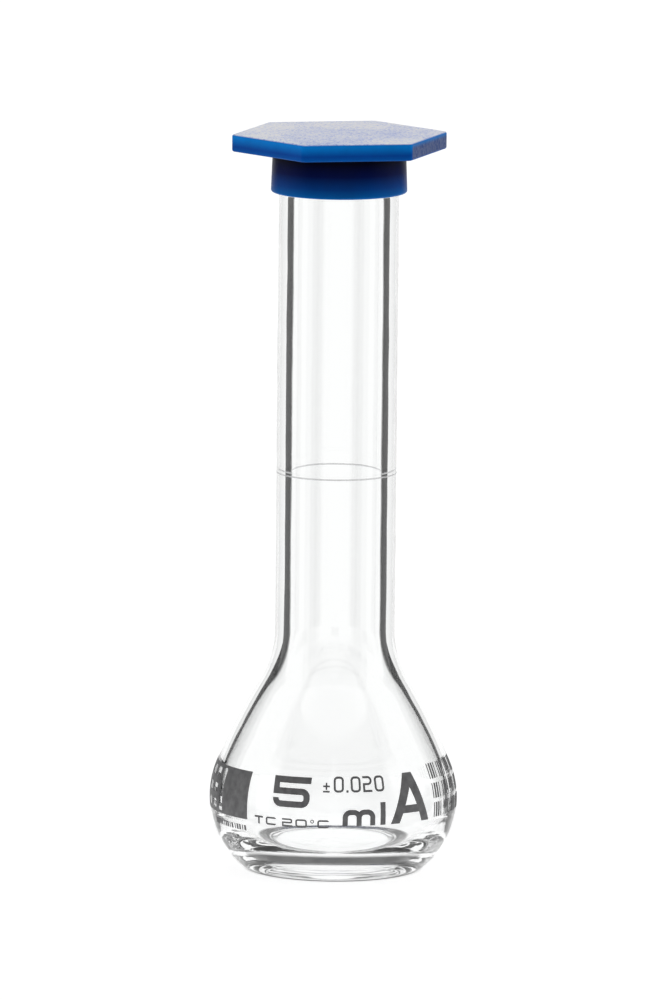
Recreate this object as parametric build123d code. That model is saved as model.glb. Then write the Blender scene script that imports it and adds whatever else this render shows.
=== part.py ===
from build123d import *
import math
import os

# A 5 ml volumetric flask of blown borosilicate glass with a snap cap.
# Millimetres and degrees. +Z is up, the foot stands on z = 0 and the axis is x = y = 0.
# The front, where the capacity is printed, faces -Y. An azimuth is measured from the front
# towards +X. A lean is a wall's angle from vertical, positive where it widens downwards.

CAPACITY = 5000.0  # what the flask holds up to its graduation ring, cubic millimetres

# Neck: drawn tube, with a slightly reduced finish under the cap
NECK_RADIUS = 5.5
NECK_BORE_RADIUS = 4.2
FINISH_RADIUS = 5.3
FINISH_START = 62.6
FINISH_TAPER = 0.5
MOUTH_BORE_RADIUS = 4.72
MOUTH_BORE_START = 63.2
MOUTH_BORE_TAPER = 0.5
MOUTH_HEIGHT = 66.35
LIP_ROUND = 0.22

# Outside of the body, from the neck down
SHOULDER_START = 22.0
SHOULDER_ARC = 8.9
SHOULDER_LEAN = 32.0
FLANK_LEAN = 22.5
BELLY_ARC = 8.45
BELLY_RADIUS = 11.35
UNDER_ARC = 8.5
UNDER_LEAN = -46.0

# Inside of the body, from the neck down
INNER_SHOULDER_START = 22.05
INNER_SHOULDER_ARC = 8.2
INNER_SHOULDER_LEAN = 33.5
INNER_FLANK_LEAN = 23.7
INNER_BELLY_ARC = 7.7
INNER_BELLY_RADIUS = 10.3
INNER_UNDER_ARC = 5.4
INNER_UNDER_LEAN = -62.0
FLOOR_CORNER_ARC = 7.5
FLOOR_LEAN = -80.0
FLOOR_RISE = 0.35

# Foot: a flat ring round a push-up
FOOT_RING_WIDTH = 0.7
PUSH_UP_CORNER = 0.5
PUSH_UP_RISE = 0.7

# Graduation ring, set in a shallow groove
RING_HEIGHT = 0.14
RING_DEPTH = 0.04
RING_PROUD = 0.02

# Printed enamel on the body
ENAMEL = 0.03
PRINT_TOP = 10.8
PRINT_BOTTOM = 4.4
BASELINE = 5.5
CAPITALS_BASELINE = 5.72
PRINT_FROM = 8.4  # a flat mark sets out for the glass at this distance from the axis
PRINT_TRAVEL = 4.0

# Label panel, left of the capacity: solid on its right, then windows in rows
PANEL_START = -95.0
PANEL_END = -43.9
PANEL_BOTTOM = 5.7
PANEL_TOP = 10.05
WINDOW_HIGH = 0.8
WINDOW_ROUND = 0.15

# Snap cap
PLATE_ACROSS_FLATS = 17.4
PLATE_THICKNESS = 1.6
PLATE_BOTTOM = 66.4
PLATE_TURN = 10.8
PLATE_CORNER = 0.55
PLATE_EDGE = 0.2
SKIRT_BOTTOM = 62.6
SKIRT_TOP_RADIUS = 6.1
SKIRT_BOTTOM_RADIUS = 6.24
SKIRT_CLEARANCE = 0.05
SKIRT_LEAD_IN = 0.4
SKIRT_EDGE = 0.18
PLUG_BOTTOM = 64.05
PLUG_CLEARANCE = 0.03
PLUG_WALL = 0.8
PLUG_LEAD_IN = 0.25


def at(radius, height):
    """A point of a turned outline, in the plane y = 0."""
    return Vector(radius, 0, height)


def leaning_arc(start, radius, lean_from, lean_to):
    """An arc that runs down from start while the wall's lean turns from one angle to the other."""
    sign = 1 if lean_to > lean_from else -1

    def reached(lean):
        a, b = math.radians(lean_from), math.radians(lean)
        across = sign * radius * (math.cos(a) - math.cos(b))
        down = sign * radius * (math.sin(b) - math.sin(a))
        return start + Vector(across, 0, -down)

    return ThreePointArc(start, reached((lean_from + lean_to) / 2), reached(lean_to))


def tangent_arcs(start, lean, runs):
    """Arcs one below the other, each tangent to the last. A run is (radius, lean at its end)."""
    arcs = []
    for radius, lean_to in runs:
        arcs.append(leaning_arc(start, radius, lean, lean_to))
        start, lean = arcs[-1] @ 1, lean_to
    return arcs


def flank_arc(neck, belly, shoulder_arc, shoulder_lean, flank_lean, belly_arc):
    """The radius of the long flank arc that brings the body out to its full belly radius."""
    steep, slack = (math.cos(math.radians(lean)) for lean in (shoulder_lean, flank_lean))
    left = belly - neck - shoulder_arc * (1 - steep) - belly_arc * (1 - slack)
    return left / (slack - steep)


def outer_arcs(proud=0.0):
    """Shoulder, flank, belly and underside, moved outwards by proud."""
    flank = flank_arc(
        NECK_RADIUS, BELLY_RADIUS, SHOULDER_ARC, SHOULDER_LEAN, FLANK_LEAN, BELLY_ARC
    )
    runs = [
        (SHOULDER_ARC - proud, SHOULDER_LEAN),
        (flank + proud, FLANK_LEAN),
        (BELLY_ARC + proud, 0),
        (UNDER_ARC + proud, UNDER_LEAN),
    ]
    return tangent_arcs(at(NECK_RADIUS + proud, SHOULDER_START), 0, runs)


def inner_arcs():
    """The inside of the body, from the neck's bore down to the edge of the floor."""
    flank = flank_arc(
        NECK_BORE_RADIUS,
        INNER_BELLY_RADIUS,
        INNER_SHOULDER_ARC,
        INNER_SHOULDER_LEAN,
        INNER_FLANK_LEAN,
        INNER_BELLY_ARC,
    )
    runs = [
        (INNER_SHOULDER_ARC, INNER_SHOULDER_LEAN),
        (flank, INNER_FLANK_LEAN),
        (INNER_BELLY_ARC, 0),
        (INNER_UNDER_ARC, INNER_UNDER_LEAN),
        (FLOOR_CORNER_ARC, FLOOR_LEAN),
    ]
    return tangent_arcs(at(NECK_BORE_RADIUS, INNER_SHOULDER_START), 0, runs)


def dome(edge, rise):
    """A shallow arc from edge to the axis, higher on the axis by rise."""
    radius = (edge.X**2 + rise**2) / (2 * rise)
    half = math.asin(edge.X / radius) / 2
    middle = at(radius * math.sin(half), edge.Z + rise - radius * (1 - math.cos(half)))
    return ThreePointArc(edge, middle, at(0, edge.Z + rise))


def turned(edges):
    """The solid of revolution of a closed outline."""
    return revolve(make_face(edges), Axis.Z)


def polygon(*points):
    """The solid of revolution of a closed straight-sided outline of (radius, height) points."""
    return turned(Polyline(*[at(*p) for p in points], close=True))


def lower_bore():
    """The space inside the body, below the straight bore of the neck."""
    arcs = inner_arcs()
    floor = dome(arcs[-1] @ 1, FLOOR_RISE)
    top = Line(at(0, INNER_SHOULDER_START), arcs[0] @ 0)
    return turned([top, *arcs, floor, Line(floor @ 1, top @ 0)])


def ring_centre():
    """The height at which the inside holds the stated capacity."""
    above = CAPACITY - lower_bore().volume
    return INNER_SHOULDER_START + above / (math.pi * NECK_BORE_RADIUS**2)


def make_flask():
    """The blown glass: neck, shoulder, bulb and foot in one piece."""
    outside = outer_arcs()
    under_end = outside[-1] @ 1
    heel_arc = under_end.Z / (1 + math.sin(math.radians(UNDER_LEAN)))
    heel = leaning_arc(under_end, heel_arc, UNDER_LEAN, -90)
    ring_inner = (heel @ 1).X - FOOT_RING_WIDTH
    foot_ring = Line(heel @ 1, at(ring_inner, 0))
    half_turn = math.sqrt(0.5)
    corner = ThreePointArc(
        at(ring_inner, 0),
        at(ring_inner - PUSH_UP_CORNER * half_turn, PUSH_UP_CORNER * (1 - half_turn)),
        at(ring_inner - PUSH_UP_CORNER, PUSH_UP_CORNER),
    )
    push_up = dome(corner @ 1, PUSH_UP_RISE - PUSH_UP_CORNER)
    inside = inner_arcs()
    floor = dome(inside[-1] @ 1, FLOOR_RISE)
    mouth = [
        at(NECK_BORE_RADIUS, INNER_SHOULDER_START),
        at(NECK_BORE_RADIUS, MOUTH_BORE_START),
        at(MOUTH_BORE_RADIUS, MOUTH_BORE_START + MOUTH_BORE_TAPER),
        at(MOUTH_BORE_RADIUS, MOUTH_HEIGHT),
        at(FINISH_RADIUS, MOUTH_HEIGHT),
        at(FINISH_RADIUS, FINISH_START + FINISH_TAPER),
        at(NECK_RADIUS, FINISH_START),
        at(NECK_RADIUS, SHOULDER_START),
    ]
    axis_line = Line(push_up @ 1, floor @ 1)
    outline = [*outside, heel, foot_ring, corner, push_up, axis_line, floor, *inside]
    glass = turned([*outline, Polyline(*mouth)])
    lips = glass.edges().filter_by(GeomType.CIRCLE).group_by(Axis.Z)[-1]
    glass = fillet(lips, LIP_ROUND)
    return glass - ring_tube(NECK_RADIUS - RING_DEPTH, NECK_RADIUS + 1)


def ring_tube(inner, outer):
    """A short tube at the graduation height."""
    low = ring_centre() - RING_HEIGHT / 2
    high = low + RING_HEIGHT
    return polygon((inner, low), (outer, low), (outer, high), (inner, high))


def make_graduation_ring():
    """The fired line that marks the capacity, filling its groove."""
    return ring_tube(NECK_RADIUS - RING_DEPTH, NECK_RADIUS + RING_PROUD)


def plate_shape(across_flats, turn):
    """A regular hexagon with one corner at the given angle from +X."""
    return RegularPolygon(across_flats / math.sqrt(3), 6, rotation=turn)


def make_snap_cap():
    """The moulded cap: hexagonal plate, skirt outside the neck and sealing plug inside it."""
    outline = fillet(plate_shape(PLATE_ACROSS_FLATS, PLATE_TURN).vertices(), PLATE_CORNER)
    plate = extrude(Pos(0, 0, PLATE_BOTTOM) * outline, PLATE_THICKNESS)
    rims = plate.edges().group_by(Axis.Z)
    plate = fillet([*rims[0], *rims[-1]], PLATE_EDGE)
    inside = FINISH_RADIUS + SKIRT_CLEARANCE
    inner_edge = inside + SKIRT_LEAD_IN
    buried = PLATE_BOTTOM + PLATE_THICKNESS / 2
    skirt = polygon(
        (inside, buried),
        (inside, SKIRT_BOTTOM + FINISH_TAPER),
        (inner_edge, SKIRT_BOTTOM),
        (SKIRT_BOTTOM_RADIUS, SKIRT_BOTTOM),
        (SKIRT_TOP_RADIUS, PLATE_BOTTOM),
        (SKIRT_TOP_RADIUS, buried),
    )
    bottom_circles = skirt.edges().group_by(Axis.Z)[0]
    skirt = fillet(bottom_circles.sort_by(SortBy.LENGTH)[-1], SKIRT_EDGE)
    outside = MOUTH_BORE_RADIUS - PLUG_CLEARANCE
    plug = polygon(
        (outside - PLUG_WALL, buried),
        (outside - PLUG_WALL, PLUG_BOTTOM),
        (outside - PLUG_LEAD_IN, PLUG_BOTTOM),
        (outside, PLUG_BOTTOM + 2 * PLUG_LEAD_IN),
        (outside, buried),
    )
    return plate + skirt + plug


def print_skin():
    """The thin skin of enamel height over the printed zone of the body, all the way round."""
    near, far = outer_arcs(), outer_arcs(ENAMEL)
    faces = []
    for inner, outer in zip(near[1:], far[1:]):
        ends = [Line(inner @ 0, outer @ 0), Line(inner @ 1, outer @ 1)]
        faces.append(make_face([inner, outer, *ends]))
    skin = sum((revolve(face, Axis.Z) for face in faces[1:]), revolve(faces[0], Axis.Z))
    middle = (PRINT_TOP + PRINT_BOTTOM) / 2
    reach = 4 * BELLY_RADIUS
    return skin & Pos(0, 0, middle) * Box(reach, reach, PRINT_TOP - PRINT_BOTTOM)


def printed(skin, shape, azimuth, height):
    """A flat shape laid on the body: its origin goes to this azimuth and height."""
    a = math.radians(azimuth)
    outward, right = Vector(math.sin(a), -math.cos(a), 0), Vector(math.cos(a), math.sin(a), 0)
    plane = Plane(outward * PRINT_FROM + Vector(0, 0, height), right, outward)
    return extrude(plane * shape, PRINT_TRAVEL) & skin


def stroke(points, width, round_by):
    """A line of even width through the points, with its corners rounded."""
    path = FilletPolyline(*points, radius=round_by)
    pieces = [trace(edge, width) for edge in path.edges()]
    return pieces[0].fuse(*pieces[1:]).clean()


def square_stroke(points, width):
    """A line of even width through the points, with square corners and square ends."""
    pieces = []
    for (x0, y0), (x1, y1) in zip(points, points[1:]):
        run = Rectangle(abs(x1 - x0) + width, abs(y1 - y0) + width)
        pieces.append(Pos((x0 + x1) / 2, (y0 + y1) / 2) * run)
    return pieces[0].fuse(*pieces[1:]).clean()


def loop_shape(wide, high, pen, corner):
    """A closed round-cornered loop, as in a zero. Its origin is at the middle of its foot."""
    whole = RectangleRounded(wide, high, corner)
    hole = RectangleRounded(wide - 2 * pen, high - 2 * pen, max(corner - pen, pen / 4))
    return Pos(0, high / 2) * (whole - hole)


def letter_c(wide, high, pen, corner):
    """A loop that is open to the right."""
    gap = Rectangle(wide / 2, high - 2 * pen, align=(Align.MIN, Align.CENTER))
    return loop_shape(wide, high, pen, corner) - Pos(pen / 2, high / 2) * gap


def figure_two(wide, high, pen, corner):
    """A two: a round-cornered bowl on a square foot."""
    x, top, low, mid = (wide - pen) / 2, high - pen / 2, pen / 2, high / 2
    bowl = stroke([(-x - pen / 2, top), (x, top), (x, mid), (0, mid)], pen, corner)
    return bowl + square_stroke([(0, mid), (-x, mid), (-x, low), (x, low)], pen)


def figure_five(wide, high, pen, corner):
    """A five: a bar, a stem and a bowl."""
    x, top, low, mid = (wide - pen) / 2, high - pen / 2, pen / 2, 0.53 * high
    head = square_stroke([(x, top), (-x, top), (-x, mid), (0, mid)], pen)
    bowl = stroke([(0, mid), (x, mid), (x, low), (-x, low), (-x, 0.3 * high)], pen, corner)
    return head + bowl


def letter_m(wide, high, pen, corner):
    """Two arches on three legs."""
    x, top = (wide - pen) / 2, high - pen / 2
    left = stroke([(-x, 0), (-x, top), (0, top), (0, 0)], pen, corner)
    right = stroke([(0, 0), (0, top), (x, top), (x, 0)], pen, corner)
    return left + right


def letter_t(wide, high, pen):
    """A bar on a stem."""
    bar = Pos(0, high - pen / 2) * Rectangle(wide, pen)
    return bar + Pos(0, high / 2) * Rectangle(pen, high)


def letter_a(wide, high, pen, flat):
    """A tall A with a flat top and a triangular counter."""
    foot, bar_low, bar_high = wide / 2, 0.2 * high, 0.36 * high
    outside = Polygon((-foot, 0), (foot, 0), (flat / 2, high), (-flat / 2, high), align=None)

    def inner_half_width(height):
        return (foot - (foot - flat / 2) * height / high) - pen

    low, high_bar = inner_half_width(bar_low), inner_half_width(bar_high)
    legs = Polygon((pen - foot, 0), (foot - pen, 0), (low, bar_low), (-low, bar_low), align=None)
    counter = Polygon((-high_bar, bar_high), (high_bar, bar_high), (0, 0.72 * high), align=None)
    return outside - legs - counter


def plus_minus(wide, high, pen):
    """A plus over a bar."""
    middle = high - wide / 2
    plus = Rectangle(wide, pen) + Rectangle(pen, wide)
    return Pos(0, middle) * plus + Pos(0, pen / 2) * Rectangle(wide, pen)


def bars(wide, high, count):
    """Upright bars, alternately broad and narrow: a plain filling where words stood."""
    pitch = wide / (count - 0.5)
    shape = None
    for i in range(count):
        bar_wide = pitch * (0.6 if i % 3 else 0.3)
        bar = Pos(-wide / 2 + pitch * (i + 0.25), high / 2) * Rectangle(bar_wide, high)
        shape = bar if shape is None else shape + bar
    return shape


def print_marks(skin):
    """Every printed mark as a node name and its solids, laid round the body."""

    def line_of(shapes):
        pieces = [printed(skin, shape, azimuth, height) for shape, azimuth, height in shapes]
        return Compound(children=[s for piece in pieces for s in piece.solids()])

    small = (0.93, 1.4, 0.19, 0.36)
    upper = 8.78
    tiny = (1.1, 0.76, 0.16, 0.24)
    tolerance = [
        (plus_minus(0.62, 0.85, 0.15), -3.3, upper),
        (loop_shape(*small), 2.6, upper),
        (Pos(0, 0.1) * Rectangle(0.2, 0.2), 6.7, upper),
        (loop_shape(*small), 10.8, upper),
        (figure_two(0.86, 1.4, 0.19, 0.3), 16.6, upper),
        (loop_shape(*small), 22.6, upper),
    ]
    temperature = [
        (letter_t(0.94, 0.76, 0.17), -36.7, BASELINE),
        (letter_c(*tiny), -30.0, BASELINE),
        (figure_two(1.02, 0.76, 0.15, 0.14), -21.7, BASELINE),
        (loop_shape(*tiny), -14.9, BASELINE),
        (loop_shape(0.34, 0.36, 0.08, 0.16), -9.7, BASELINE + 0.42),
        (letter_c(*tiny), -4.5, BASELINE),
    ]
    unit = [
        (letter_m(3.05, 1.5, 0.48, 0.5), 12.1, CAPITALS_BASELINE),
        (Pos(0, 1.05) * Rectangle(0.5, 2.1), 23.7, CAPITALS_BASELINE),
    ]
    return {
        "capacity_numeral": line_of([(figure_five(3.55, 2.74, 0.57, 0.5), -20.2, 7.3)]),
        "tolerance_mark": line_of(tolerance),
        "temperature_mark": line_of(temperature),
        "unit_mark": line_of(unit),
        "class_letter": line_of([(letter_a(4.4, 4.5, 0.92, 1.0), 39.0, CAPITALS_BASELINE)]),
        "lot_bars": line_of(bar_rows()),
        "type_bars": line_of([(bars(1.6, 0.5, 5), az, 4.62) for az in (-49.5, -59, -68.5)]),
    }


def bar_rows():
    """Three rows of bars on the right of the class letter, each a few short groups."""
    groups = (57.5, 66.5, 75.5, 84.5)
    rows = (5.82, 7.56, 9.3)
    return [(bars(1.3, 1.35, 4), azimuth, height) for height in rows for azimuth in groups]


def panel_windows():
    """The panel's plain windows as (width, height, azimuth, height of the middle)."""
    rows = [PANEL_BOTTOM + 0.75, (PANEL_BOTTOM + PANEL_TOP) / 2, PANEL_TOP - 0.75]
    tall = PANEL_TOP - PANEL_BOTTOM - 0.5
    grid = [
        (wide, WINDOW_HIGH, azimuth, height)
        for height in rows
        for wide, azimuth in ((1.0, -73.0), (1.2, -81.5))
    ]
    return [(0.7, tall, -65.5, rows[1]), *grid]


def label_panel(skin):
    """A panel on the left: a solid field, a tall window and three rows of two small ones."""
    reach = 4 * BELLY_RADIUS
    sector = skin
    for azimuth, side in ((PANEL_START, 1), (PANEL_END, -1)):
        a = math.radians(azimuth)
        right = Vector(math.cos(a), math.sin(a), 0) * side
        wall = Plane((0, 0, 0), x_dir=(0, 0, 1), z_dir=right)
        sector &= extrude(wall * Rectangle(reach, reach), reach)
    band = Box(reach, reach, PANEL_TOP - PANEL_BOTTOM)
    sector &= Pos(0, 0, (PANEL_BOTTOM + PANEL_TOP) / 2) * band
    for wide, high, azimuth, height in panel_windows():
        sector -= printed(skin, RectangleRounded(wide, high, WINDOW_ROUND), azimuth, height)
    return sector


def export_parts(parts):
    """Write one STEP file per sub-part."""
    os.makedirs("parts", exist_ok=True)
    for name, solids in parts.items():
        export_step(solids, f"parts/{name}.step")


flask = make_flask()
skin = print_skin()
print("ring at", ring_centre(), "glass", flask.volume, "skin", skin.volume)
parts = {
    "flask": flask,
    "snap_cap": make_snap_cap(),
    "graduation_ring": make_graduation_ring(),
    "label_panel": label_panel(skin),
    **print_marks(skin),
}
export_parts(parts)
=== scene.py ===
import math

import bmesh
import bpy
from mathutils import Matrix, Vector


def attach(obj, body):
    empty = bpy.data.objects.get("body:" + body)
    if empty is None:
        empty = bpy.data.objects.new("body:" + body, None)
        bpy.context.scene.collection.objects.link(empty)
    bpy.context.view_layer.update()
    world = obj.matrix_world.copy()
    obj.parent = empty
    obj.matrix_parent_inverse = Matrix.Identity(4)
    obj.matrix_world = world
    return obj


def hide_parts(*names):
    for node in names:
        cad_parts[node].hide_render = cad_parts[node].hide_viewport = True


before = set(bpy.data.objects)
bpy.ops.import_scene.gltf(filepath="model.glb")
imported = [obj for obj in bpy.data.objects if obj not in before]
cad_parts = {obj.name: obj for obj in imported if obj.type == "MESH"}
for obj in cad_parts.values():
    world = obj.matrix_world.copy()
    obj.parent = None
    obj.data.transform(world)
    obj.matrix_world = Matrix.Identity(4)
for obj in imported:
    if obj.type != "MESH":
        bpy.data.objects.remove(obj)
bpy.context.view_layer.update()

# The looks of a 5 ml volumetric flask: blown glass, fired enamel and a moulded snap cap.
# Lengths are millimetres, as in the CAD, and MM turns them into metres. The few that are
# metres from the start say so.
MM = 0.001

# Camera: a long lens a little above the shoulder, as for a catalogue picture
CAMERA_ELEVATION = 8.7
CAMERA_DISTANCE = 1.2  # metres
CAMERA_ROLL = 0.55
CAMERA_REACH = (0.1, 10)  # metres: the nearest and the farthest that it sees
AIM = Vector((-0.24, 0, 34.07)) * MM
VIEW_HEIGHT = 91.7 * MM
SENSOR = 36.0  # millimetres, along the picture's longer side

# Light: a white room with dark flags near eye level at its four corners, which the walls of
# the glass show as dark lines. Angles are in degrees: a height is an elevation, and a side
# is an azimuth from the nearer end of the Y axis, so that each flag stands four times.
ROOM_LIGHT = 1.0
BACKDROP_LIGHT = 1.06
BACKDROP_RADIUS = 2.15  # metres: it goes round the camera as well
FLAG_LIGHT = 0.015
FLAG_NEAR = 36.0
FLAG_FAR = 62.0
FLAG_FADE = 2.0  # to either side of an upright edge
FLAG_SPREAD = 0.9  # how fast the flags widen towards the Y axis above eye level
SPREAD_FROM = 0.05  # sine of the angle below eye level at which they start to widen
FLAG_TOP = 45.0
FLAG_BOTTOM = -12.0
# A second set, lower down, stands on the axes: for views from the corners
LOW_FLAG_SIDE = 10.0
LOW_FLAG_TOP = -13.5
LOW_FLAG_BOTTOM = -34.0
CORNER = 45.0  # azimuth of a corner of the room
FADE = 1.0  # to either side of every other edge
# The camera's side of the room is dimmer: it dims from FRONT_FROM off the -Y axis to FRONT_TO
FRONT_LIGHT = 0.5
FRONT_FROM = 72.0
FRONT_TO = 52.0
FRONT_BOTTOM = -5.0
FRONT_TOP = 62.0
LIGHT_BOUNCES = 40  # the walls guide some light round many times before it leaves

# Floor: a round card that glows a little, so that it is as white as the room
FLOOR_RADIUS = 42.0
FLOOR_SIDES = 96
FLOOR_GAP = 0.02
FLOOR_GLOW = 0.42
CARD_TONES = [(0.93, 0.93, 0.93), (0.95, 0.95, 0.95)]
CARD_ROUGHNESS = 0.9
PAINTED_FOOT_SHADOW = 0.12  # painted shadow: how bright the floor is left where the foot presses on it
PAINTED_SHADOW_RADII = (5.8, 6.6, 7.8, 8.3)  # the painted shadow sets in, is full, is still full, is over
PAINTED_SHADOW_WITHIN = 10.0  # the radius that the painted shadow's ramp covers

# Outline of the glass, from the neck down. A lean is the wall's angle from upright in
# degrees, and it is positive where the wall widens downwards.
NECK_RADIUS = 5.5
NECK_BORE = 4.2
FINISH_RADIUS = 5.3
FINISH_START = 62.6
FINISH_TAPER = 0.5
MOUTH_BORE = 4.72
MOUTH_BORE_START = 63.2
MOUTH_HEIGHT = 66.35
LIP_ROUND = 0.22
# Shoulders: height of the top, radius of the arc, lean at the arc's end and at the flank's
SHOULDER = (22.0, 8.9, 32.0, 22.5)
INNER_SHOULDER = (22.05, 8.2, 33.5, 23.7)
# Bellies: radius where the wall is widest, radius of the arc down to there
BELLY = (11.35, 8.45)
INNER_BELLY = (10.3, 7.7)
# Arcs below the belly: radius, lean at the end
UNDER = (8.5, -46.0)
INNER_UNDER = (5.4, -62.0)
FLOOR_CORNER = (7.5, -80.0)
FLOOR_RISE = 0.35
FOOT_RING_WIDTH = 0.7
PUSH_UP_CORNER = 0.5
PUSH_UP_RISE = 0.7
# The neck closes this far over the enamel of the ring, and has no groove for it as the CAD's
# neck does. The difference runs out towards the belly.
FUSED = 0.01

# How finely the glass is turned
SEGMENTS = 384
ARC_STEP = 1.5  # degrees
FLAT_STEP = 0.35
DOME_STEPS = 8  # at least
QUARTER_STEPS = 6
ON_AXIS = 1e-6

# Noise textures in the materials, and the range that most of a noise's values lie in
NOISE_RANGE = (0.3, 0.7)
GLASS_WAVES = {"Scale": 230.0, "Detail": 2.0}
ENAMEL_CLOUDS = {"Scale": 1500.0, "Detail": 5.0, "Roughness": 0.6}
ENAMEL_GRAIN = {"Scale": 6000.0, "Detail": 2.0}
CAP_CLOUDS = {"Scale": 260.0, "Detail": 5.0, "Roughness": 0.65}
CAP_SCRATCHES = {"Scale": 1400.0, "Detail": 7.0, "Roughness": 0.7, "Distortion": 2.0}
# mottles the painted glare and scuffs on the cap's top
CAP_GLARE_AND_SCUFFS = {"Scale": 3600.0, "Detail": 8.0, "Roughness": 0.75, "Distortion": 0.6}
CAP_PATCHES = {"Scale": 170.0, "Detail": 3.0}
CAP_GRAIN = {"Scale": 900.0, "Detail": 6.0, "Distortion": 1.2}
CARD_FIBRES = {"Scale": 900.0, "Detail": 3.0}

# How the coordinates are stretched under some of them
WAVE_STRETCH = (1, 1, 0.45)
SCRATCH_STRETCH = (1, 2.5, 1)
GRAIN_STRETCH = (1, 3.5, 1)

# Relief: how strongly a noise tilts the surface, and how deep it is
GLASS_RELIEF = (0.25, 0.12 * MM)
ENAMEL_RELIEF = (0.3, 0.02 * MM)
CAP_RELIEF = (0.2, 0.03 * MM)

GLASS_TINT = (0.995, 1.0, 0.998, 1)
GLASS_IOR = 1.473

GREY_ENAMEL = ((0.09, 0.09, 0.093), (0.17, 0.17, 0.173))
RING_ENAMEL = ((0.74, 0.74, 0.75), (0.88, 0.88, 0.89))
ENAMEL_ROUGHNESS = 0.5
RING_OPACITY = 0.5  # a fired line this thin lets light through

# Cap: its blue carries painted shade, deepest under the plate where the light is shut out, and
# painted light at the plate's lower edge and towards its top; its top is painted pale with glare
# and scuffs.
# Heights along it, and how far a side faces one way, run from 0 to 1.
CAP_BOTTOM = 62.6
CAP_TOP = 68.0
# The blue, with painted shade under the plate and a painted highlight at the plate's lower edge and
# painted light at its top
CAP_BLUE_PAINTED_SHADE_AND_LIGHT = [
    (0.0, (0.0, 0.15, 0.52)),
    (0.16, (0.0, 0.055, 0.28)),
    (0.38, (0.0, 0.006, 0.075)),
    (0.6, (0.0, 0.0, 0.01)),
    (0.69, (0.0, 0.0, 0.006)),
    (0.72, (0.0, 0.11, 0.48)),
    (0.8, (0.0, 0.07, 0.39)),
    (0.95, (0.0, 0.235, 0.77)),
]
CLOUD_TONES = [(0.8, 0.8, 0.8), (1, 1, 1)]
# Painted glare on the cap's top, with blue scuffs through it
TOP_GLARE_AND_SCUFFS = [(0.3, (0.08, 0.2, 0.7)), (0.44, (0.68, 0.74, 0.98)), (0.56, (0.98, 0.98, 1.0))]
TOP_FACING = (0.45, 0.95)  # how far up a surface faces where the painted glare and scuffs set in and are full
GLARE_AND_SCUFF_STRENGTH = (0.82, 1.1)  # of the painted glare, in the thinnest patches and in the thickest
# Painted glare on one side of the plate, streaked by scratches
SIDE_GLARE_AND_SCRATCHES = [(0.38, (0.005, 0.045, 0.22)), (0.62, (0.15, 0.19, 0.33))]
GLARE_SIDE_FACING = (0.85, 0.93)  # the side of the plate that faces mostly +X, where glare is painted
GLARE_SIDE_ABOVE = (0.71, 0.74)  # the painted glare sets in
GLARE_SIDE_BELOW = (0.99, 0.9)  # and stops short of the top edge
CAP_ROUGHNESS = (0.3, 0.52)
CAP_IOR = 1.51
CAP_SPECULAR = 0.04
CAP_SHEEN = 0.08
CAP_SHEEN_SPREAD = 0.3

# The CAD's nodes in grey enamel
PRINTED = (
    "capacity_numeral",
    "tolerance_mark",
    "temperature_mark",
    "unit_mark",
    "class_letter",
    "label_panel",
    "lot_bars",
    "type_bars",
)


# ---------------------------------------------------------------- outline of the glass


def arc(start, radius, lean_from, lean_to):
    """Points after start on an arc that runs down while the wall's lean turns."""
    sign = 1 if lean_to > lean_from else -1
    steps = max(2, round(abs(lean_to - lean_from) / ARC_STEP))
    steps = max(steps, round(radius * math.radians(abs(lean_to - lean_from)) / FLAT_STEP))
    a = math.radians(lean_from)
    points = []
    for i in range(1, steps + 1):
        b = math.radians(lean_from + (lean_to - lean_from) * i / steps)
        across = sign * radius * (math.cos(a) - math.cos(b))
        down = sign * radius * (math.sin(b) - math.sin(a))
        points.append((start[0] + across, start[1] - down))
    return points


def straight(start, end):
    """Evenly spaced points after start up to end."""
    length = math.dist(start, end)
    steps = max(1, round(length / FLAT_STEP))
    return [
        tuple(s + (e - s) * i / steps for s, e in zip(start, end)) for i in range(1, steps + 1)
    ]


def body_wall(neck, shoulder, belly, unders):
    """From the foot of the neck, over shoulder, flank and belly, to the end of the last arc."""
    top, shoulder_arc, shoulder_lean, flank_lean = shoulder
    belly_radius, belly_arc = belly
    steep, slack = (math.cos(math.radians(lean)) for lean in (shoulder_lean, flank_lean))
    left = belly_radius - neck - shoulder_arc * (1 - steep) - belly_arc * (1 - slack)
    runs = [(shoulder_arc, shoulder_lean), (left / (slack - steep), flank_lean), (belly_arc, 0)]
    points, lean = [(neck, top)], 0
    for radius, lean_to in [*runs, *unders]:
        points += arc(points[-1], radius, lean, lean_to)
        lean = lean_to
    return points


def dome(edge, rise):
    """Points after edge on a shallow arc that reaches the axis, higher by rise."""
    radius = (edge[0] ** 2 + rise**2) / (2 * rise)
    half = math.asin(edge[0] / radius)
    steps = max(DOME_STEPS, round(edge[0] / FLAT_STEP))
    points = []
    for i in range(1, steps + 1):
        angle = half * (1 - i / steps)
        points.append((radius * math.sin(angle), edge[1] + rise - radius * (1 - math.cos(angle))))
    return points


def quarter(centre, radius, start_angle):
    """Points of a quarter turn round centre, starting from start_angle, anticlockwise."""
    turns = (i / QUARTER_STEPS for i in range(QUARTER_STEPS + 1))
    angles = [math.radians(start_angle + 90 * turn) for turn in turns]
    return [(centre[0] + radius * math.cos(a), centre[1] + radius * math.sin(a)) for a in angles]


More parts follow.
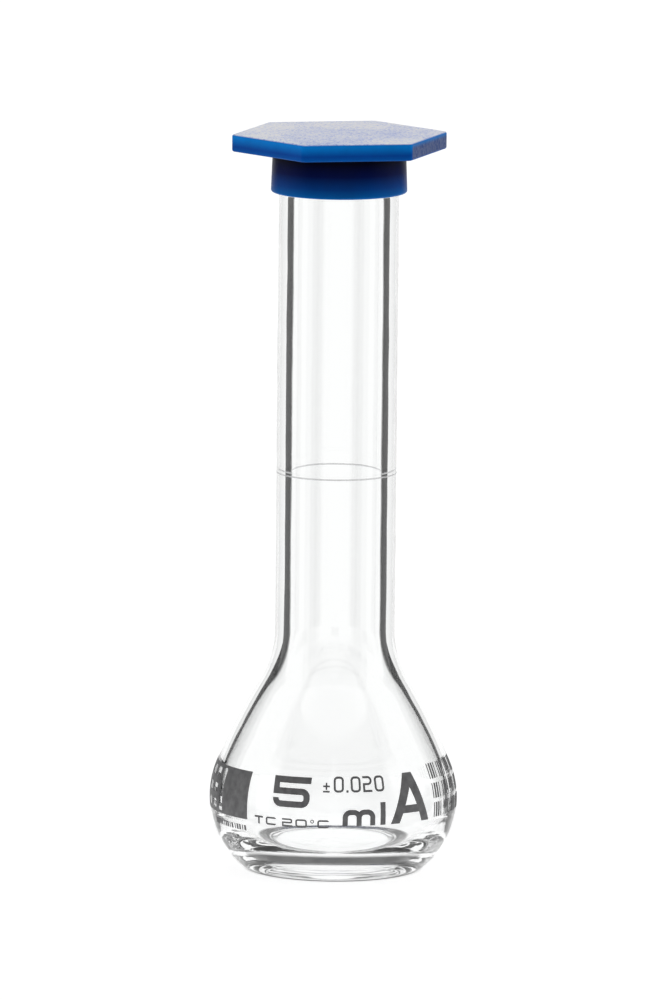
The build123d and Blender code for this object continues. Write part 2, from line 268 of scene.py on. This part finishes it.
def glass_outline():
    """The whole section: the push-up, the outside, the mouth, the inside and the floor."""
    outside = body_wall(NECK_RADIUS + FUSED, SHOULDER, BELLY, [UNDER])
    under_lean = UNDER[1]
    heel_arc = outside[-1][1] / (1 + math.sin(math.radians(under_lean)))
    outside += arc(outside[-1], heel_arc, under_lean, -90)
    ring_inner = outside[-1][0] - FOOT_RING_WIDTH
    outside += straight(outside[-1], (ring_inner, 0))
    corner = quarter((ring_inner, PUSH_UP_CORNER), PUSH_UP_CORNER, 180)[::-1]
    outside += corner[1:]
    outside += dome(outside[-1], PUSH_UP_RISE - PUSH_UP_CORNER)
    inside = body_wall(NECK_BORE, INNER_SHOULDER, INNER_BELLY, [INNER_UNDER, FLOOR_CORNER])
    inside += dome(inside[-1], FLOOR_RISE)
    outer_top = MOUTH_HEIGHT - LIP_ROUND
    mouth = [
        (NECK_RADIUS + FUSED, FINISH_START),
        (FINISH_RADIUS, FINISH_START + FINISH_TAPER),
        *quarter((FINISH_RADIUS - LIP_ROUND, outer_top), LIP_ROUND, 0),
        *quarter((MOUTH_BORE + LIP_ROUND, outer_top), LIP_ROUND, 90),
        (MOUTH_BORE, MOUTH_BORE_START + FINISH_TAPER),
        (NECK_BORE, MOUTH_BORE_START),
    ]
    points = outside[::-1]
    for end in [*mouth, inside[0]]:
        points += straight(points[-1], end)
    return points + inside[1:]


# ---------------------------------------------------------------- meshes


def new_object(name, data):
    """An object in the scene's collection."""
    made = bpy.data.objects.new(name, data)
    bpy.context.scene.collection.objects.link(made)
    return made


def mesh_object(name, bm):
    """An object with the mesh that bm holds, which is used up."""
    mesh = bpy.data.meshes.new(name)
    bm.to_mesh(mesh)
    bm.free()
    return new_object(name, mesh)


def lathe(name, outline):
    """A closed solid of revolution whose outline starts and ends on the axis."""
    bm = bmesh.new()
    turns = [2 * math.pi * i / SEGMENTS for i in range(SEGMENTS)]
    rings = []
    for radius, height in outline:
        if radius < ON_AXIS:
            places = [(0, 0)]
        else:
            places = [(radius * math.cos(turn), radius * math.sin(turn)) for turn in turns]
        rings.append([bm.verts.new((x * MM, y * MM, height * MM)) for x, y in places])
    for low, high in zip(rings, rings[1:]):
        for i in range(SEGMENTS):
            j = (i + 1) % SEGMENTS
            if len(low) == 1:
                bm.faces.new((low[0], high[j], high[i]))
            elif len(high) == 1:
                bm.faces.new((low[i], low[j], high[0]))
            else:
                bm.faces.new((low[i], low[j], high[j], high[i]))
    bmesh.ops.recalc_face_normals(bm, faces=bm.faces)
    made = mesh_object(name, bm)
    made.data.polygons.foreach_set("use_smooth", [True] * len(made.data.polygons))
    return made


# ---------------------------------------------------------------- materials


def node_maker(tree):
    """A function that adds a node to tree and fills its sockets, in their order or by name."""

    def node(kind, settings=None, *values, **inputs):
        made = tree.nodes.new(kind)
        for key, value in (settings or {}).items():
            setattr(made, key, value)
        by_name = [(made.inputs[key], value) for key, value in inputs.items()]
        for socket, value in [*zip(made.inputs, values), *by_name]:
            if isinstance(value, bpy.types.NodeSocket):
                tree.links.new(value, socket)
            else:
                socket.default_value = value
        return made

    return node


def new_material(name):
    """A node material, its shader, and functions that add nodes and wire them to the shader."""
    material = bpy.data.materials.new(name)
    material.use_nodes = True
    tree = material.node_tree
    shader = tree.nodes["Principled BSDF"]

    def wire(value, socket):
        tree.links.new(value, shader.inputs[socket])

    return material, shader, node_maker(tree), wire


def fill(shader, values):
    """Set the shader's own sockets."""
    for socket, value in values.items():
        shader.inputs[socket].default_value = value


def place(node, scale=(1, 1, 1)):
    """Object coordinates, scaled."""
    coordinates = node("ShaderNodeTexCoord").outputs["Object"]
    return node("ShaderNodeMapping", Vector=coordinates, Scale=scale).outputs["Vector"]


def noise(node, where, settings):
    """The value of a noise texture."""
    return node("ShaderNodeTexNoise", Vector=where, **settings).outputs["Fac"]


def relief(node, height, strength, depth):
    """The surface's normal, tilted by height."""
    made = node("ShaderNodeBump", Height=height, Strength=strength, Distance=depth)
    return made.outputs["Normal"]


def ramp(node, factor, stops):
    """A colour ramp over factor."""
    made = node("ShaderNodeValToRGB", Fac=factor)
    elements = made.color_ramp.elements
    while len(elements) < len(stops):
        elements.new(0.5)
    for element, (at, colour) in zip(elements, stops):
        element.position = at
        element.color = (*colour, 1)
    return made.outputs["Color"]


def two_tones(node, factor, tones):
    """From the first tone to the second, over the range that most of a noise lies in."""
    return ramp(node, factor, [*zip(NOISE_RANGE, tones)])


def span(node, value, low, high, out_low=0.0, out_high=1.0):
    """How far value is from low to high, clamped, between the two outputs."""
    made = node("ShaderNodeMapRange", None, value, low, high, out_low, out_high)
    return made.outputs["Result"]


def product(node, first, *others):
    """All the values multiplied."""
    for other in others:
        first = node("ShaderNodeMath", {"operation": "MULTIPLY"}, first, other).outputs[0]
    return first


def mix(node, factor, first, second, blend="MIX"):
    """Two colours mixed."""
    made = node("ShaderNodeMix", {"data_type": "RGBA", "blend_type": blend}, factor)
    colours = [socket for socket in made.inputs if socket.type == "RGBA"]
    for colour, socket in zip((first, second), colours):
        made.id_data.links.new(colour, socket)
    return next(socket for socket in made.outputs if socket.type == "RGBA")


def glass_material():
    """Clear borosilicate glass with the slight waves of blown ware."""
    material, shader, node, wire = new_material("borosilicate_glass")
    fill(shader, {"Base Color": GLASS_TINT, "Transmission Weight": 1.0})
    fill(shader, {"Roughness": 0.0, "IOR": GLASS_IOR})
    waves = noise(node, place(node, WAVE_STRETCH), GLASS_WAVES)
    wire(relief(node, waves, *GLASS_RELIEF), "Normal")
    return material


def enamel_material(name, tones):
    """Fired enamel, unevenly thick, with a fine grain."""
    material, shader, node, wire = new_material(name)
    where = place(node)
    wire(two_tones(node, noise(node, where, ENAMEL_CLOUDS), tones), "Base Color")
    wire(relief(node, noise(node, where, ENAMEL_GRAIN), *ENAMEL_RELIEF), "Normal")
    fill(shader, {"Roughness": ENAMEL_ROUGHNESS})
    return material


def cap_material():
    """Blue moulded polyethylene with painted shade and light; painted glare with scuffs on top, and
    painted glare streaked by scratches on one side of the plate.
    """
    material, shader, node, wire = new_material("blue_polyethylene")
    coordinates = node("ShaderNodeTexCoord").outputs
    where = coordinates["Object"]
    height = node("ShaderNodeSeparateXYZ", Vector=where).outputs["Z"]
    facing = node("ShaderNodeSeparateXYZ", Vector=coordinates["Normal"]).outputs
    along = span(node, height, CAP_BOTTOM * MM, CAP_TOP * MM)

    clouds = two_tones(node, noise(node, where, CAP_CLOUDS), CLOUD_TONES)
    # the blue with its painted shade and light along the height, clouded
    sides = mix(node, 1.0, ramp(node, along, CAP_BLUE_PAINTED_SHADE_AND_LIGHT), clouds, "MULTIPLY")
    scratches = noise(node, place(node, SCRATCH_STRETCH), CAP_SCRATCHES)
    # painted glare, streaked by scratches, on the side of the plate that faces +X
    glare_side = product(
        node,
        span(node, facing["X"], *GLARE_SIDE_FACING),
        span(node, along, *GLARE_SIDE_ABOVE),
        span(node, along, *GLARE_SIDE_BELOW),
    )
    sides = mix(node, glare_side, sides, ramp(node, scratches, SIDE_GLARE_AND_SCRATCHES))

    # painted glare with scuffs on surfaces that face up
    patches = span(node, noise(node, where, CAP_PATCHES), *NOISE_RANGE, *GLARE_AND_SCUFF_STRENGTH)
    glare_and_scuffs = product(node, noise(node, where, CAP_GLARE_AND_SCUFFS), patches)
    upward = span(node, facing["Z"], *TOP_FACING)
    wire(mix(node, upward, sides, ramp(node, glare_and_scuffs, TOP_GLARE_AND_SCUFFS)), "Base Color")

    grain = noise(node, place(node, GRAIN_STRETCH), CAP_GRAIN)
    wire(span(node, grain, 0.0, 1.0, *CAP_ROUGHNESS), "Roughness")
    wire(relief(node, grain, *CAP_RELIEF), "Normal")
    fill(shader, {"IOR": CAP_IOR, "Specular IOR Level": CAP_SPECULAR})
    fill(shader, {"Sheen Weight": CAP_SHEEN, "Sheen Roughness": CAP_SHEEN_SPREAD})
    return material


def floor_material():
    """Matte white card with a faint tooth, and a painted shadow where the foot stands on it."""
    material, shader, node, wire = new_material("white_card")
    where = place(node)
    card = two_tones(node, noise(node, where, CARD_FIBRES), CARD_TONES)
    reach = node("ShaderNodeVectorMath", {"operation": "LENGTH"}, Vector=where).outputs["Value"]
    # a painted shadow in a ring round the foot, which darkens the card's colour and its glow
    levels = (1.0, PAINTED_FOOT_SHADOW, PAINTED_FOOT_SHADOW, 1.0)
    stops = [(radius / PAINTED_SHADOW_WITHIN, (level,) * 3) for radius, level in zip(PAINTED_SHADOW_RADII, levels)]
    painted_shadow = ramp(node, span(node, reach, 0.0, PAINTED_SHADOW_WITHIN * MM), stops)
    wire(mix(node, 1.0, card, painted_shadow, "MULTIPLY"), "Base Color")
    wire(painted_shadow, "Emission Color")
    fill(shader, {"Roughness": CARD_ROUGHNESS, "Specular IOR Level": 0.0})
    fill(shader, {"Emission Strength": FLOOR_GLOW})
    return material


# ---------------------------------------------------------------- stage, light and camera


def light_room():
    """White from everywhere but the dark flags and the dimmer side behind the camera."""
    world = bpy.data.worlds.new("studio")
    bpy.context.scene.world = world
    world.use_nodes = True
    tree = world.node_tree
    node = node_maker(tree)

    def calculate(operation, *values):
        return node("ShaderNodeMath", {"operation": operation}, *values).outputs[0]

    def step_up(value, low, high):
        made = node("ShaderNodeMapRange", {"interpolation_type": "SMOOTHSTEP"}, value, low, high)
        return made.outputs["Result"]

    direction = node("ShaderNodeTexCoord").outputs["Generated"]
    split = node("ShaderNodeSeparateXYZ", Vector=direction).outputs
    across, along = (calculate("ABSOLUTE", split[axis]) for axis in "XY")
    azimuth = calculate("ARCTAN2", across, along)
    height = split["Z"]

    def edge(value, angle, fade, into=math.radians):
        """From 0 to 1 as value passes the angle, or the other way round for a fade below 0."""
        return step_up(value, into(angle - fade), into(angle + fade))

    def level(angle):
        """The height on the unit sphere at an elevation."""
        return math.sin(math.radians(angle))

    def between(low, high):
        """1 between the two elevations and 0 elsewhere."""
        return product(node, edge(height, low, FADE, level), edge(height, high, -FADE, level))

    raised = calculate("MAXIMUM", calculate("ADD", height, SPREAD_FROM), 0.0)
    widened = calculate("ADD", azimuth, calculate("MULTIPLY", raised, FLAG_SPREAD))
    sides = product(
        node, edge(widened, FLAG_NEAR, FLAG_FADE), edge(azimuth, FLAG_FAR, -FLAG_FADE)
    )
    flags = product(node, sides, between(FLAG_BOTTOM, FLAG_TOP))
    from_corner = calculate("ABSOLUTE", calculate("SUBTRACT", azimuth, math.radians(CORNER)))
    low_sides = edge(from_corner, CORNER - LOW_FLAG_SIDE, FADE)
    low_flags = product(node, low_sides, between(LOW_FLAG_BOTTOM, LOW_FLAG_TOP))
    dark = calculate("MAXIMUM", flags, low_flags)

    towards_camera = calculate("MULTIPLY", split["Y"], -1.0)
    rim = [math.cos(math.radians(angle)) for angle in (FRONT_FROM, FRONT_TO)]
    front = product(node, step_up(towards_camera, *rim), between(FRONT_BOTTOM, FRONT_TOP))
    front_drop = calculate("MULTIPLY", front, ROOM_LIGHT - FRONT_LIGHT)
    flag_drop = calculate("MULTIPLY", dark, ROOM_LIGHT - FLAG_LIGHT)
    light = calculate("SUBTRACT", ROOM_LIGHT, calculate("MAXIMUM", flag_drop, front_drop))
    background = tree.nodes["Background"]
    tree.links.new(light, background.inputs["Strength"])
    background.inputs["Color"].default_value = (1, 1, 1, 1)


def make_floor():
    """The card that the flask stands on."""
    bm = bmesh.new()
    bmesh.ops.create_circle(bm, cap_ends=True, segments=FLOOR_SIDES, radius=FLOOR_RADIUS * MM)
    floor = mesh_object("floor", bm)
    floor.location.z = -FLOOR_GAP * MM
    floor.data.materials.append(floor_material())


def make_backdrop():
    """A white shell behind everything, seen only directly."""
    bm = bmesh.new()
    bmesh.ops.create_icosphere(bm, subdivisions=4, radius=BACKDROP_RADIUS)
    shell = mesh_object("backdrop", bm)
    material = bpy.data.materials.new("backdrop_white")
    material.use_nodes = True
    tree = material.node_tree
    tree.nodes.remove(tree.nodes["Principled BSDF"])
    glow = node_maker(tree)("ShaderNodeEmission", Strength=BACKDROP_LIGHT)
    tree.links.new(glow.outputs[0], tree.nodes["Material Output"].inputs["Surface"])
    shell.data.materials.append(material)
    for ray in ("diffuse", "glossy", "transmission", "volume_scatter", "shadow"):
        setattr(shell, f"visible_{ray}", False)


def make_camera():
    """The camera, at the picture's angle."""
    data = bpy.data.cameras.new("camera")
    data.sensor_width = SENSOR
    data.lens = SENSOR * CAMERA_DISTANCE / VIEW_HEIGHT
    data.clip_start, data.clip_end = CAMERA_REACH
    camera = new_object("camera", data)
    tilt = math.radians(CAMERA_ELEVATION)
    back = Vector((0, -math.cos(tilt), math.sin(tilt)))
    roll = Matrix.Rotation(math.radians(CAMERA_ROLL), 3, "Z")
    turn = (-back).to_track_quat("-Z", "Y").to_matrix() @ roll
    camera.matrix_world = Matrix.Translation(AIM + back * CAMERA_DISTANCE) @ turn.to_4x4()
    bpy.context.scene.camera = camera


def let_light_bounce():
    """Follow light until it has left the walls of the glass."""
    paths = bpy.context.scene.cycles
    paths.max_bounces = LIGHT_BOUNCES
    paths.glossy_bounces = LIGHT_BOUNCES
    paths.transmission_bounces = LIGHT_BOUNCES


# ---------------------------------------------------------------- the object


def dress(node, material):
    """Give a CAD node its material."""
    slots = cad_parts[node].data.materials
    slots.clear()
    slots.append(material)


def build():
    """Turn the glass finely enough to refract cleanly, and dress the CAD's other nodes."""
    glass = lathe("blown_glass", glass_outline())
    glass.data.materials.append(glass_material())
    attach(glass, "flask_body")
    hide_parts("flask")
    # The light on the floor and on the enamel passes straight through the glass
    glass.visible_shadow = False
    glass.visible_diffuse = False
    dress("snap_cap", cap_material())
    ring_enamel = enamel_material("ring_enamel", RING_ENAMEL)
    fill(ring_enamel.node_tree.nodes["Principled BSDF"], {"Alpha": RING_OPACITY})
    dress("graduation_ring", ring_enamel)
    grey_enamel = enamel_material("grey_enamel", GREY_ENAMEL)
    for node in PRINTED:
        dress(node, grey_enamel)


build()
light_room()
make_floor()
make_backdrop()
make_camera()
let_light_bounce()
bpy.context.scene.view_settings.view_transform = "Standard"
